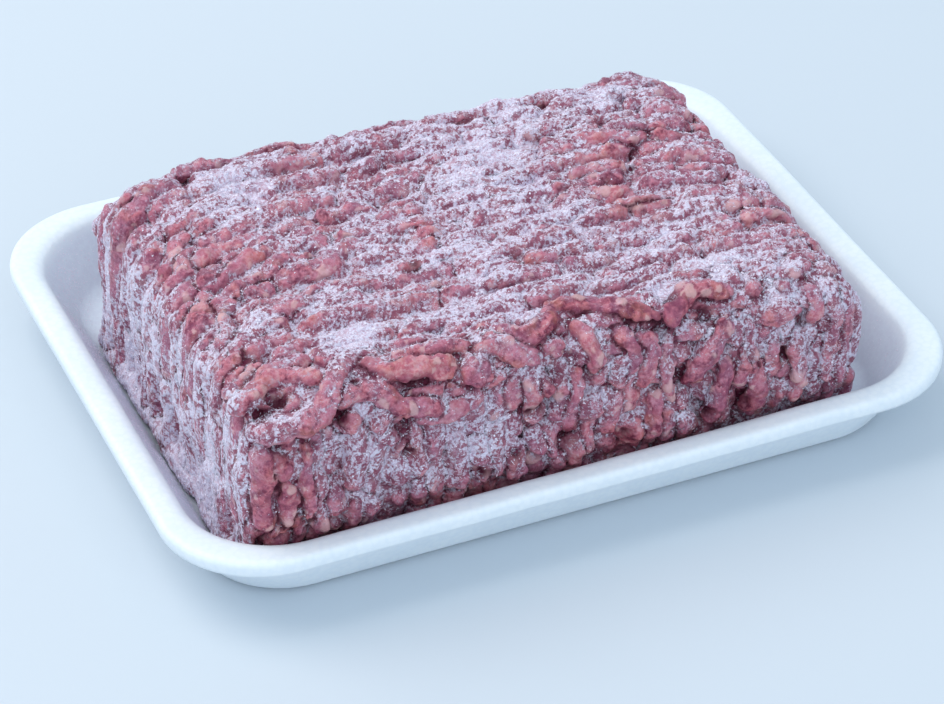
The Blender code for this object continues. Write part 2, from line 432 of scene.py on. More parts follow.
def over_the_top(share, salt):
    """A row's way up the left end, over the top and down the right end, with the way out along it."""
    y_middle = mix(FRONT + FRONT_ROUND - 1 * MM, BACK - 3.5 * MM, share)
    lean = np.interp(share, (0, 0.12, 0.3, 0.65, 0.9, 1), (-2, 1, 8, 14, 9, 5)) * MM
    y_left = mix(FRONT + 5 * MM, BACK - 4 * MM, share) - lean
    y_left = min(max(y_left, FRONT + 5 * MM), BACK - 6 * MM)
    y_right = mix(FRONT + 9 * MM, BACK - 9 * MM, share)
    back_left = np.clip((y_left - (BACK - 17 * MM)) / (17 * MM), 0, 1)
    left = LEFT + rounding(9 * MM, back_left)
    back_right = np.clip((y_right - (BACK - 22 * MM)) / (22 * MM), 0, 1)
    front_right = np.clip(((FRONT + 16 * MM) - y_right) / (16 * MM), 0, 1)
    right = RIGHT - rounding(5 * MM, back_right) - rounding(8 * MM, front_right)
    z_left = float(top_height(left, y_left)) - 1.0 * MM
    z_right = float(top_height(right, y_right)) - 0.7 * MM - 2.5 * MM * front_right
    r_left, r_right = min(LEFT_ROUND, z_left - 14 * MM), min(RIGHT_ROUND, z_right - 14 * MM)
    line = []
    for z in np.arange(FLOOR - 2 * MM, z_left - r_left, 2 * MM):
        foot = 2.2 * MM * math.exp(-(((z - FLOOR) / (8 * MM)) ** 2))
        line.append((left - swell(z, 1.4 * MM) - foot, y_left, z, -1, 0))
    for angle in np.radians(np.linspace(180, 96, 8)):
        across, up = math.cos(angle), math.sin(angle)
        height = z_left - r_left + r_left * up
        line.append((left + r_left + r_left * across, y_left, height, across, up))
    for x in np.arange(left + r_left, right - r_right, 3 * MM):
        toward_left = np.clip(1 - (x - left) / (46 * MM), 0, 1) ** 2
        toward_right = smooth((x - (right - 50 * MM)) / (50 * MM))
        y = y_middle + (y_left - y_middle) * toward_left + (y_right - y_middle) * toward_right
        line.append((x, y, float(top_height(x, y)), 0, 1))
    for angle in np.radians(np.linspace(84, 0, 8)):
        across, up = math.cos(angle), math.sin(angle)
        height = z_right - r_right + r_right * up
        line.append((right - r_right + r_right * across, y_right, height, across, up))
    for z in np.arange(z_right - r_right - 2 * MM, FLOOR, -2 * MM):
        line.append((right + swell(z, 2.6 * MM), y_right, z, 1, 0))
    line = np.array(line)
    points = line[:, :3]
    behind, before = (top_height(points[:, 0], points[:, 1] + step) for step in (1 * MM, -1 * MM))
    tip = np.clip((before - behind) / (2 * MM), -2.5, 2.5) * (line[:, 4] > 0.5)
    ways = unit(np.column_stack([line[:, 3], tip * line[:, 4], line[:, 4]]))
    wander = np.column_stack([points[:, 0] * 0.7, np.full(len(points), salt * 0.9), points[:, 2] * 0.7])
    points = points.copy()
    points[:, 1] += 2.4 * MM * noise(wander, 21 * MM, 11) + 1.6 * MM * noise(wander, 8 * MM, 12)
    points += ways * (1.1 * MM * noise(wander, 11 * MM, 13) - 0.3 * MM)[:, None]
    return points, ways


# ---- strands ----


class Heap:
    """Strands gathered into one mesh before they are fused, with each one's middle line and likings."""

    def __init__(self):
        self.count = 0
        self.verts, self.faces = [], []
        self.axes, self.widths, self.owners = [], [], []
        self.tones, self.rimes = [], []

    def add(self, verts, faces):
        self.verts.append(verts)
        self.faces.append(np.asarray(faces) + self.count)
        self.count += len(verts)

    def note(self, line, thick, tone, rime):
        """Keeps a strand's middle line, for finding which strand a point of the surface belongs to."""
        self.axes.append(line)
        self.widths.append(thick)
        self.owners.append(np.full(len(line), len(self.tones)))
        self.tones.append(tone)
        self.rimes.append(rime)


def strand(heap, line, ways, radius, salt, rime=0.0, squash=0.9, sides=9):
    """One lumpy strand with round ends along a line; ways points out of the block."""
    lengths = way_along(line)
    count = max(5, int(lengths[-1] / STRAND_STEP))
    travelled = np.linspace(0, lengths[-1], count)
    line = np.stack([np.interp(travelled, lengths, line[:, axis]) for axis in range(3)], axis=1)
    ways = unit(np.stack([np.interp(travelled, lengths, ways[:, axis]) for axis in range(3)], axis=1))
    along = unit(np.gradient(line, axis=0))
    out = unit(ways - along * np.sum(ways * along, axis=1, keepdims=True))
    side = np.cross(along, out)
    seed_line = trail(travelled, salt * 0.37)
    sway = side * noise(seed_line, 7 * MM, 23)[:, None] + out * noise(seed_line, 7 * MM, 24)[:, None]
    line = line + 0.6 * MM * sway
    thick = radius * (1 + 0.28 * noise(seed_line, 10 * MM, 21) + 0.18 * noise(seed_line, 4 * MM, 22))
    to_end = np.minimum(travelled, travelled[::-1]) + 0.15 * MM
    thick = thick * np.sqrt(np.clip(1 - (1 - np.clip(to_end / (1.1 * radius), 0, 1)) ** 2, 0.02, 1))
    angles = np.linspace(0, 2 * np.pi, sides, endpoint=False)
    spoke = np.cos(angles)[None, :, None] * out[:, None] * squash
    spoke = spoke + np.sin(angles)[None, :, None] * side[:, None]
    verts = (line[:, None] + spoke * thick[:, None, None]).reshape(-1, 3)
    verts = np.vstack([verts, line[:1], line[-1:]])
    ring = np.arange(sides)
    faces = []
    for at in range(count - 1):
        here, after = at * sides + ring, at * sides + (ring + 1) % sides
        faces.append(np.stack([here, after + sides, after], axis=1))
        faces.append(np.stack([here, here + sides, after + sides], axis=1))
    last = (count - 1) * sides
    start = count * sides
    faces.append(np.stack([ring, (ring + 1) % sides, np.full(sides, start)], axis=1))
    faces.append(np.stack([last + (ring + 1) % sides, last + ring, np.full(sides, start + 1)], axis=1))
    heap.add(verts, np.vstack(faces))
    heap.note(line, thick, random.random(), rime)


def broken(line, ways, shortest, longest):
    """Cuts a long line into pieces that overlap a little where one strand ends and the next begins."""
    lengths = way_along(line)
    cuts = [0.0]
    while cuts[-1] < lengths[-1]:
        cuts.append(cuts[-1] + random.uniform(shortest, longest))
    cuts[-1] = lengths[-1]
    if len(cuts) > 2 and cuts[-1] - cuts[-2] < 0.4 * shortest:
        cuts.pop(-2)
    for start, end in zip(cuts, cuts[1:]):
        low = max(0.0, start - random.uniform(0.5, 4.0) * MM)
        inside = (lengths >= low) & (lengths <= end)
        if inside.sum() < 3:
            continue
        moved = line[inside] + np.array([0, random.uniform(-0.9, 0.9) * MM, 0])
        yield moved + ways[inside] * random.uniform(-0.9, 0.4) * MM, ways[inside]


def trail(values, lane):
    """Places to read noise at along a line; each lane gives its own."""
    return np.column_stack([values, np.full(len(values), lane), np.zeros(len(values))])


def lay_broken(heap, line, ways, lengths, widths, salt, salt_step, rime=0.0):
    """Strands end to end along a line, with lengths in mm and widths as shares of the usual one."""
    pieces = broken(line, ways, lengths[0] * MM, lengths[1] * MM)
    for at, (part, out) in enumerate(pieces):
        strand(heap, part, out, STRAND * random.uniform(*widths), salt + at * salt_step, rime)


def lay_rows(heap):
    """The rows that run along the top and hang down both ends."""
    rows = int(round((BACK - FRONT - FRONT_ROUND) / ROW_PITCH))
    for row in range(rows + 1):
        points, ways = over_the_top(row / rows, row)
        points = points - ways * STRAND
        lengths = (45, 90) if row > rows - 3 else (12, 44)
        lay_broken(heap, points, ways, lengths, (0.85, 1.2), row * 17 + 1, 5)
    # One along the foot of the left end, pressed against the tray
    y = np.arange(FRONT + 14 * MM, BACK - 10 * MM, 3 * MM)
    foot = np.column_stack([np.full(len(y), LEFT + 1.2 * MM), y, np.full(len(y), FLOOR + 3.5 * MM)])
    strand(heap, foot, np.tile([-1.0, 0.0, 0.3], (len(y), 1)), 3.6 * MM, 290, 0.2)


# Strands that stand out on the front: (radius, rime, then places along it). A place is how far along
# the block, how far over its ridge and how far out. All but rime in mm.
FRONT_STRANDS = (
    (3.6, -0.05, (-50, -5, -1), (-57, -2, 0.4), (-63, 1, 1.4), (-67, 6, 2.2), (-70, 10, 2.6),
     (-75, 13, 3), (-82, 15, 3), (-88, 15, 2), (-93, 14, 0.5)),
    (3, -0.25, (-95, 9, 0), (-91, 4, 0.8), (-86, 0, 1.2), (-80, -1.5, 1.4), (-74, 1, 1.2),
     (-70, 2.5, 0.4)),
    (2.8, -0.05, (-88, 9.5, -2), (-83, 7.5, -1.2), (-77, 7, -1), (-73, 7, -2)),
    (3, -0.1, (-93.5, -1, -0.6), (-94, 2, 0.2), (-93.5, 7, 0)),
    (3.3, -0.3, (-60, -1, 0.4), (-55, 3, 1), (-50, 6, 1.6), (-44, 7.5, 1.8), (-38, 8.5, 1.4),
     (-33, 8, 0)),
    (3.2, -0.15, (-68, 14, 0.6), (-64, 9.5, 1), (-59, 10, 1.2), (-55, 13, 1.4), (-51, 17, 1.4),
     (-46, 19, 1.2), (-40, 20.5, 0.6)),
    (3.8, 0, (-68, 20, 0), (-65, 18, 1), (-62, 18, 0)),
    (3.2, -0.1, (-60, 26, -0.6), (-56, 26, 0.4), (-52, 28, -0.4)),
    (3.5, -0.45, (-27, -3, -0.6), (-20, 1.5, 0.8), (-15, 4.5, 1.8), (-10.5, 5, 2), (-7, 1.5, 1.8),
     (-4, -2, 1.4), (1, -2, 1.4), (6, 0, 1.4), (11, 2.5, 1.6), (16, 5, 1.6), (20, 6.5, 1.4),
     (23.5, 9.5, 0.2)),
    (3.1, -0.2, (-29, 5, 0), (-24.5, 5.5, 1), (-20, 8.5, 1.2), (-15.5, 11, 0.6),
     (-12, 12.5, -0.4)),
    (4.3, -0.05, (-35, 13.5, 0.4), (-30, 12, 1.8), (-26, 12.5, 0.6)),
    (3.2, -0.05, (-49, 20, 0.4), (-44, 21.5, 1), (-38, 21.5, 1), (-33, 22, 0)),
    (3.6, 0.05, (-11, 12, 0.2), (-8, 11, 1.4), (-5, 9, 0.4)),
    (3.1, -0.2, (-2, 4, 0.2), (1, 8, 0.8), (2, 14, 0.8), (3, 21, 0)),
    (3, -0.15, (-15, 17, 0), (-12.5, 20, 0.8), (-12, 25, 0)),
    (2.9, -0.15, (-7, 17, 0), (-4, 21, 0.6), (-4, 27, 0.6), (-6, 32, 0)),
    (3, -0.2, (9, 9, 0), (12, 13, 0.8), (13, 19, 0.6), (11, 25, 0)),
    (3, -0.15, (15, 12, 0.4), (18.5, 17, 0.6), (18, 24, 0.4), (16, 30, 0)),
    (3.3, -0.4, (24, 13, 0.4), (28, 7.5, 1.4), (33, 3.5, 1.6), (38, 4, 1.4), (42, 7.5, 0.8),
     (43, 11, 0)),
    (3.1, -0.3, (41.5, 14, 0.6), (38, 19, 1.4), (35, 23, 1.4), (32, 28, 1), (29.5, 34, 0)),
    (3.2, -0.35, (39, 25, 0.4), (39, 32, 1.2), (38, 39, 1.2), (36.5, 47, 0.8)),
    (3, 0, (45.5, 25, 0), (45, 31, 0.8), (44.5, 38, 0)),
    (3, -0.15, (51, 28, 0), (50.5, 34, 0.8), (49.5, 42, 0.8), (48, 48, 0.4)),
    (4.2, -0.05, (50, 18, 0), (54, 16.5, 1.6), (59, 17.5, 1.2), (61, 20, 0)),
    (3.1, -0.05, (54.5, 23, 0), (54, 30, 0.8), (53, 37, 0.2)),
    (3.3, -0.1, (60, 23, 0.2), (61.5, 30, 1), (62, 38, 1), (61.5, 46, 0.6)),
    (3, -0.35, (64.5, 9, 0.2), (66.5, 14, 1.2), (66.5, 20, 1), (66, 25, 0)),
    (3.2, -0.15, (55, 6, 0.4), (58, 8, 1), (61, 12, 0)),
    (3, -0.25, (50, 2, 0.4), (51, 7, 0.8), (47, 11, 0.4)),
    (3, 0.15, (70, 8, 0), (71.5, 18, 0.8), (71.5, 30, 0.8), (71, 44, 0.6)),
    (3, 0.15, (75, 14, 0.2), (77.5, 24, 0.4), (77, 34, 0.4), (76, 46, 0.2)),
    (3, -0.3, (-90.5, 19, 0.4), (-90, 24, 1), (-90.5, 32, 1), (-90, 46, 0.4)),
    (3.2, -0.2, (-87, 24, 0.4), (-85, 27, 1.4), (-82, 26, 0.6)),
    (3, -0.25, (-84, 29, 0.2), (-83.5, 36, 0.8), (-84, 46, 0.4)),
    (3, -0.25, (-76, 21, 0.4), (-77.5, 27, 1), (-78, 35, 1), (-77.5, 46, 0.4)),
)


def lay_front(heap):
    """The loose strands on the front, those along its ridge and those that stand under them."""
    for at, (radius, rime, *places) in enumerate(FRONT_STRANDS):
        route = curve_through(np.array(places) * MM, 1.2 * MM)
        points, ways = front_point(route[:, 0], route[:, 1])
        points = points - ways * (radius * MM - HERO_LIFT * route[:, 2])[:, None]
        strand(heap, points, ways, radius * MM, 300 + at * 3, rime, 1.0, sides=10)
    # Strands along the ridge, low behind those that stand out
    for row, s in enumerate((-1, 4.5, 10, 15.5)):
        x = np.arange(LEFT + 3 * MM, RIGHT - 4 * MM, 2.5 * MM)
        bend = trail(x, row * 1.7)
        points, ways = front_point(x, s * MM + 2.4 * MM * noise(bend, 15 * MM, 53))
        line = points - ways * (STRAND + (1.3 + 1.5 * noise(bend, 10 * MM, 54)) * MM)[:, None]
        lay_broken(heap, line, ways, (12, 30), (0.95, 1.15), 400 + row * 11, 1)
    # Standing strands under them
    columns = int((RIGHT - LEFT) / COLUMN_PITCH)
    for column in range(columns + 1):
        x = mix(LEFT + 2 * MM, RIGHT - 2 * MM, column / columns)
        s = np.arange(15 * MM, 58 * MM, 2 * MM)
        bend = trail(s, column * 1.3)
        xs = x + random.uniform(-0.12, 0.12) * (s - 35 * MM) + 2.2 * MM * noise(bend, 15 * MM, 51)
        points, ways = front_point(xs, s)
        line = points - ways * (STRAND + (1.1 + 1.5 * noise(bend, 9 * MM, 52)) * MM)[:, None]
        lay_broken(heap, line, ways, (9, 26), (0.92, 1.15), 500 + column * 7, 1, 0.1)


def lay_back(heap):
    """The strands that hang down the back."""
    columns = int((RIGHT - LEFT - 10 * MM) / COLUMN_PITCH)
    for column in range(columns + 1):
        x = mix(LEFT + 7 * MM, RIGHT - 7 * MM, column / columns)
        z = np.arange(FLOOR + 2 * MM, 48 * MM, 2 * MM)
        bend = trail(z, column * 2.1)
        xs = x + random.uniform(-0.3, 0.3) * (z - 26 * MM) + 3.0 * MM * noise(bend, 15 * MM, 61)
        rise = np.clip((z - (TOP_LEFT - 2 * MM - BACK_ROUND)) / BACK_ROUND, 0, 0.99)
        ends = np.clip((np.abs(xs + 5 * MM) - 74 * MM) / (16 * MM), 0, 1)
        y = BACK + 2.5 * MM - rounding(BACK_ROUND, rise) - 9 * MM * ends**2
        y = y + swell(z, 2 * MM)
        ways = unit(np.column_stack([np.zeros(len(z)), np.sqrt(1 - rise**2), rise]))
        sunk = STRAND + 0.8 * MM * noise(bend, 10 * MM, 62)
        line = np.column_stack([xs, y, z]) - ways * sunk[:, None]
        lay_broken(heap, line, ways, (16, 40), (0.95, 1.15), 900 + column * 5, 1, 0.1)


# ---- the fused surface ----


def relax(values, edges, share, rounds):
    """Pulls each point's values toward the mean of its neighbours'."""
    one, other = edges.T
    count = len(values)
    near = np.bincount(one, minlength=count) + np.bincount(other, minlength=count)
    for _ in range(rounds):
        columns = [
            np.bincount(one, column[other], count) + np.bincount(other, column[one], count)
            for column in values.T
        ]
        values = values + share * (np.stack(columns, axis=1) / np.maximum(near, 1)[:, None] - values)
    return values


def quad_normals(verts, quads):
    """Each quad's normal, as long as twice its area."""
    a, b, c, d = (verts[quads[:, at]] for at in range(4))
    return np.cross(c - a, d - b)


def point_normals(verts, quads):
    return shared_normals(quad_normals(verts, quads), quads, len(verts))


def read_all(items, key, width, kind):
    values = np.empty(len(items) * width, kind)
    items.foreach_get(key, values)
    return values.reshape(-1, width)


def fuse(verts, faces, grain):
    """The outer surface of overlapping closed shapes, as evenly spaced points, quads and edges."""
    mesh = bpy.data.meshes.new("raw")
    mesh.from_pydata(verts.tolist(), [], faces.tolist())
    raw = bpy.data.objects.new("raw", mesh)
    bpy.context.scene.collection.objects.link(raw)
    modifier = raw.modifiers.new("fuse", "REMESH")
    modifier.mode = "VOXEL"
    modifier.voxel_size = grain
    modifier.adaptivity = 0
    graph = bpy.context.evaluated_depsgraph_get()
    fused = bpy.data.meshes.new_from_object(raw.evaluated_get(graph))
    points = read_all(fused.vertices, "co", 3, np.float32).astype(float)
    corners = read_all(fused.loops, "vertex_index", 1, np.int32)
    edges = read_all(fused.edges, "vertices", 2, np.int32)
    bpy.data.objects.remove(raw)
    bpy.data.meshes.remove(mesh)
    bpy.data.meshes.remove(fused)
    return points, corners.reshape(-1, 4), edges


def core_mesh():
    """The CAD block drawn in by a strand's radius, which fills the heap behind the strands."""
    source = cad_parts["meat"].data
    centre = (MEAT_LOW + MEAT_HIGH) / 2
    centre[2] = MEAT_LOW[2]
    half = MEAT_HIGH - centre
    away = np.array([vert.co for vert in source.vertices]) - centre
    depth = np.full(away.shape, CORE_DEPTH)
    depth[away[:, 0] < 0, 0] = LEFT_CORE_DEPTH
    verts = centre + away * (1 - depth / half)
    source.calc_loop_triangles()
    return verts, np.array([triangle.vertices for triangle in source.loop_triangles])


# Where the frost lies thick and where the meat is bare: (how far along the block, how far over its
# ridge, reach, amount), the first three in mm.
PATCHES = (
    (14, -72, 24, 0.45), (-57, -92, 13, 0.55), (55, -96, 13, 0.45), (-56, -11, 9, 0.45),
    (-11, -5, 6, 0.55), (45, -14, 12, 0.2), (-30, -40, 12, 0.15), (20, -35, 16, 0.2),
    (-20, -100, 14, 0.2), (25, -104, 14, 0.2), (-76, -28, 6, 0.3), (75, -40, 12, 0.15),
    (-86, -66, 12, -0.45), (-72, -72, 9, -0.3), (-62, -46, 12, -0.35), (-84, -36, 10, -0.4),
    (-82, -10, 9, -0.4), (-50, -70, 9, -0.3), (-43, -8, 6, -0.5), (-88, -92, 9, -0.5),
    (-66, -30, 8, -0.3), (-33, -1, 6, -0.2), (-25, -56, 8, -0.25), (0, -26, 6, -0.35),
    (50, -75, 10, -0.3), (38, -48, 10, -0.3), (60, -58, 10, -0.2), (70, -85, 10, -0.15),
    (30, -60, 7, -0.2), (-5, -82, 7, -0.2), (-58, 33, 15, 0.5), (-35, 36, 14, 0.45),
    (-18, 34, 10, 0.25), (3, 31, 8, 0.35), (10, 24, 6, 0.3), (35, 37, 4, 0.6), (-86, 14, 6, 0.4),
    (-83, 6, 4, -0.4), (-70, 30, 8, 0.2), (25, 2, 4, 0.7), (61, 1, 5, 0.6), (45, -3, 5, 0.5),
    (64.5, 28, 3, 0.6), (-76, 5, 3, 0.5), (30, 40, 8, 0.25), (55, 11, 4, 0.4), (0, -1, 8, -0.4),
    (-12, 4, 7, -0.4), (13, 3, 7, -0.4), (21, 7, 5, -0.4), (-50, 6, 8, -0.35), (-40, 8, 6, -0.3),
    (-70, 9, 5, -0.2), (30, 6, 5, -0.2), (38, 37, 5, -0.15), (34, 20, 12, 0.15),
    (-87, 34, 9, -0.4), (64, 22, 19, 0.32), (-77, 5, 11, -0.3), (62, -8, 12, 0.15),
    (1, 12, 6, -0.2),
)

# Gaps between strands, sunk in and given painted shade: (how far along the block, how far over its
# ridge, reach, depth) in mm
HOLLOWS = (
    (-87, 9, 2.2, 2.5), (-82, 5, 2.4, 2.5), (-63, 6.5, 1.8, 2), (-67.5, 16, 1.8, 2),
    (-85, 20.5, 2.2, 1.5), (-29, 1.5, 2.2, 3), (-4, 15, 2.2, 3), (-8.5, 18, 2.2, 3),
    (-13.5, 28, 2.4, 3), (-4, 42, 2.8, 4), (-20, 41, 2.4, 2.5), (-30, 44, 2.4, 2.5),
    (12, 44, 2.2, 2.5), (35, 11, 2.8, 4), (34.5, 43, 2.2, 4), (46, 43, 2.6, 3), (57, 31, 1.8, 2),
    (-51, 24, 2, 2), (43, -2, 2.6, 2.5), (27, 4, 2.2, 2.5), (46, -35, 2.2, 1.5),
    (-1, -30, 1.7, 1.5), (-28, -37, 2, 1.5), (33, -27, 1.6, 1.5), (62, 0, 2, 2),
    (-17, 28, 2, 2.5), (-50, 32, 1.8, 2), (27, 29, 1.7, 2), (-63, -8, 1.6, 1.5),
    (-29, -21, 1.6, 1.5),
)


def own_strand(heap, points):
    """Which strand each point belongs to, and how much nearer it is than the next strand."""
    axes = np.vstack(heap.axes)
    widths = np.concatenate(heap.widths)
    owners = np.concatenate(heap.owners)
    tree = KDTree(len(axes))
    for at, axis in enumerate(axes):
        tree.insert(axis, at)
    tree.balance()
    found = [[(hit[1], hit[2]) for hit in tree.find_n(point, NEAR_POINTS)] for point in points]
    found = np.array(found)
    index = found[..., 0].astype(int)
    depth = found[..., 1] - widths[index]
    strands = owners[index]
    best = strands[np.arange(len(points)), depth.argmin(axis=1)]
    nearest = depth.min(axis=1)
    other = np.where(strands == best[:, None], 1.0, depth).min(axis=1)
    return best, other - nearest


def fall_off(points, place, s, reach, along=1.0):
    """1 at a place on the block, down to 0 past its reach, and the way out there.

    With along under 1, distance straight in or out counts less.
    """
    centre, way = front_point(np.array([place * MM]), np.array([s * MM]))
    away = points - centre
    near = np.sum(away**2, axis=1) - (1 - along) * (away @ way[0]) ** 2
    return np.exp(-near / (reach * MM) ** 2), way[0]


def build_mince(look):
    """The whole block: strands fused at their flanks, dented, lumpy, and thick with frost in places."""
    heap = Heap()
    lay_rows(heap)
    lay_front(heap)
    lay_back(heap)
    heap.add(*core_mesh())
    verts, quads, edges = fuse(np.vstack(heap.verts), np.vstack(heap.faces), VOXEL)
    owner, apart = own_strand(heap, verts)
    likings = np.column_stack([np.array(heap.tones)[owner], np.array(heap.rimes)[owner]])
    tone, rime = relax(likings, edges, 0.5, 2).T
    crease = relax(np.exp(-((apart / (0.55 * MM)) ** 2))[:, None], edges, 0.5, 1)[:, 0]

    # The pressed ends are calmer than the rest. Elsewhere the strands are stirred out of their rows.
    verts = relax(verts, edges, 0.4, 1)
    calm = smooth((LEFT + 5 * MM - verts[:, 0]) / (5 * MM))
    calm = np.maximum(calm, 0.7 * smooth((verts[:, 0] - RIGHT + 8 * MM) / (8 * MM)))
    for size, reach, salt in ((7, 1.0, 95), (3, 0.5, 98)):
        stir = drift(verts, size * MM, salt)
        verts = verts + stir * (reach * MM * (1 - 0.6 * calm))[:, None]

    # Gaps with ragged edges, sunk straight in; the material paints shade in them
    warp = drift(verts, 3.5 * MM, 80) * 1.3 * MM
    hollow = np.zeros(len(verts))
    for place, s, reach, depth in HOLLOWS:
        share, way = fall_off(verts + warp, place, s, reach, 0.25)
        verts = verts - way * (share * depth * MM)[:, None]
        hollow = np.maximum(hollow, share)

    # Bits of meat and fat of two sizes, and a crease between strands
    normals = point_normals(verts, quads)
    near, clear, kind, shade = bits(verts, 4.4 * MM, 30)
    near_small, clear_small, kind_small, shade_small = bits(verts, 2.1 * MM, 35)
    lumps = 0.7 * (0.45 - near) - 0.3 * np.exp(-((clear / 0.12) ** 2)) + 0.42 * (0.45 - near_small)
    lumps += 0.5 * noise(verts, 4 * MM, 31) + 0.4 * noise(verts, 1.8 * MM, 32) - 1.1 * crease
    verts = verts + normals * (lumps * (1 - 0.7 * calm))[:, None] * MM
    smoothed = relax(verts, edges, 0.6, 20)
    verts = verts + (smoothed - verts) * (0.6 * calm)[:, None]
    normals = point_normals(verts, quads)

    # How deep each point lies between its neighbours, in mm, and which way the surface faces round it
    smoothed = relax(verts, edges, 0.6, 26)
    valley = np.sum((smoothed - verts) * normals, axis=1) / MM
    broad = point_normals(smoothed, quads)
    lean = 0.5 * normals + 0.5 * broad

    # Some gaps between strands stay open and get painted shade, others are bridged with frost
    gape = smooth(0.5 + 1.5 * noise(verts, 7 * MM, 48))
    # Frost lies on what faces up or back and in the valleys, and the front has a coat of its own
    facing_front = smooth(-lean[:, 1] * 1.6 - 0.55)
    frost = 0.13 + 0.28 * lean[:, 2] + 0.44 * np.clip(lean[:, 1], -1, 0.35)
    frost = frost + 0.28 * np.clip(valley, -1, 1) + 0.6 * rime
    frost += 0.30 * facing_front + 0.34 * (1 - gape) * np.clip(valley + 0.4 * crease, 0, 1)
    # It comes in patches of three sizes, and lies thicker to the right on top and on the pressed ends
    for size, amount, salt in ((22, 0.16, 41), (8, 0.26, 42), (3, 0.18, 43)):
        frost += amount * noise(verts, size * MM, salt)
    frost += 0.10 * smooth((verts[:, 0] + 50 * MM) / (40 * MM)) * np.clip(lean[:, 2], 0, 1)
    frost += (0.30 + 0.9 * (tone - 0.5)) * calm
    frost += 0.25 * smooth((LEFT + 3 * MM - verts[:, 0]) / (3 * MM)) - 0.5 * hollow
    for place, s, reach, amount in PATCHES:
        strength = 1 if amount > 0 else BARE_STRENGTH
        frost += strength * amount * fall_off(verts, place, s, reach)[0]

    # Painted shade goes in the bare valleys, creases and hollows. Thick frost fills the valleys and
    # stands up in clumps.
    thick = smooth((frost - 0.1) / 0.6)
    deep_shade = (0.8 * np.clip(valley - 0.2, 0, 2) + 0.6 * crease) * (0.25 + 0.75 * gape) * (1 - 0.8 * thick)
    deep_shade = np.clip(deep_shade + hollow, 0, 1)
    clump, _, _, clump_shade = bits(verts, 1.25 * MM, 47)
    verts = verts + (smoothed - verts) * (0.4 * thick)[:, None]
    rough = 0.55 * MM * (0.5 - clump) + 0.2 * MM * noise(verts, 0.9 * MM, 45) + 0.15 * MM
    verts = verts + normals * (thick * (np.clip(valley, 0, 2) * 0.25 * MM + rough))[:, None]
    verts = keep_inside(verts, 0.15 * MM)
    normals = point_normals(verts, quads)

    # What the material reads at each point
    fat = smooth((0.16 - kind) / 0.05) * smooth(clear / 0.4)
    fat = fat + smooth((0.14 - kind_small) / 0.04) * smooth(clear_small / 0.4)
    tint = 0.45 * tone + 0.3 * shade + 0.25 * shade_small
    gap = np.clip(apart / MM, 0, 2)
    # Where the rime sinks between its clumps, a little more on the front; the material shows bare meat
    # and painted shade there
    pit = 0.8 * clump + 0.2 * clump_shade + 0.06 * facing_front
    values = dict(frost=frost, fat=fat, tone=tint, deep_shade=deep_shade, flat=calm, gap=gap, pit=pit)
    quads = build_pieces(verts, quads, normals, values, look)
    return verts, quads, normals, frost, valley, clump


def build_pieces(verts, quads, normals, values, look):
    """Pieces of about one size along the block, without the underside that lies on the tray."""
    middle = verts[quads].mean(axis=1)
    hidden = (middle[:, 2] < FLOOR + 2.5 * MM) & (unit(quad_normals(verts, quads))[:, 2] < -0.4)
    quads, middle = quads[~hidden], middle[~hidden]
    parts = int(math.ceil(len(quads) / PIECE_QUADS))
    marks = np.quantile(middle[:, 0], np.linspace(0, 1, parts + 1)[1:-1])
    which = np.searchsorted(marks, middle[:, 0])
    for part in range(parts):
        chosen = quads[which == part]
        used, index = np.unique(chosen, return_inverse=True)
        own = {key: value[used] for key, value in values.items()}
        name = f"mince_{part + 1}"
        piece = make_mesh(name, verts[used], index.reshape(-1, 4), look, "meat", own)
        piece.data.normals_split_custom_set_from_vertices(normals[used].tolist())
    return quads


# ---- frost crystals ----


TETRA = np.array([(1, 1, 1), (1, -1, -1), (-1, 1, -1), (-1, -1, 1)]) / math.sqrt(3)
TETRA_FACES = np.array([(0, 2, 1), (0, 1, 3), (0, 3, 2), (1, 2, 3)])
NEEDLE_FACES = np.array([(0, 2, 1), (0, 1, 3), (1, 2, 3), (2, 0, 3)])


def scatter(count, verts, faces, normals, liking):
    """Random places on the surface, likelier where liking is high, with the way out there."""
    weight = np.linalg.norm(triangle_normals(verts, faces), axis=1) * liking[faces].mean(axis=1)
    picked = random.choice(len(faces), count, p=weight / weight.sum())
    u, v = random.random((2, count))
    flip = u + v > 1
    u, v = np.where(flip, 1 - u, u)[:, None], np.where(flip, 1 - v, v)[:, None]
    a, b, c = (faces[picked, at] for at in range(3))
    places = verts[a] * (1 - u - v) + verts[b] * u + verts[c] * v
    return places, unit(normals[a] * (1 - u - v) + normals[b] * u + normals[c] * v)


def turns(count):
    """Random rotations, as matrices."""
    w, x, y, z = unit(random.normal(size=(count, 4))).T
    rows = (
        (1 - 2 * (y * y + z * z), 2 * (x * y - z * w), 2 * (x * z + y * w)),
        (2 * (x * y + z * w), 1 - 2 * (x * x + z * z), 2 * (y * z - x * w)),
        (2 * (x * z - y * w), 2 * (y * z + x * w), 1 - 2 * (x * x + y * y)),
    )
    return np.stack([np.stack(row, axis=-1) for row in rows], axis=1)


def grains(places, ways, sizes):
    """Small four-sided crystals half sunk where they sit."""
    count = len(places)
    turned = turns(count)
    shapes = np.einsum("nij,nkj->nki", turned, TETRA[None] * random.uniform(0.6, 1.4, (count, 1, 3)))
    standing = np.sum(shapes * ways[:, None], axis=2, keepdims=True)
    shapes = shapes - GRAIN_FLATTENING * ways[:, None] * standing
    verts = places[:, None] + ways[:, None] * (sizes * GRAIN_LIFT)[:, None, None]
    verts = verts + shapes * sizes[:, None, None]
    faces = TETRA_FACES[None] + 4 * np.arange(count)[:, None, None]
    return verts.reshape(-1, 3), faces.reshape(-1, 3)


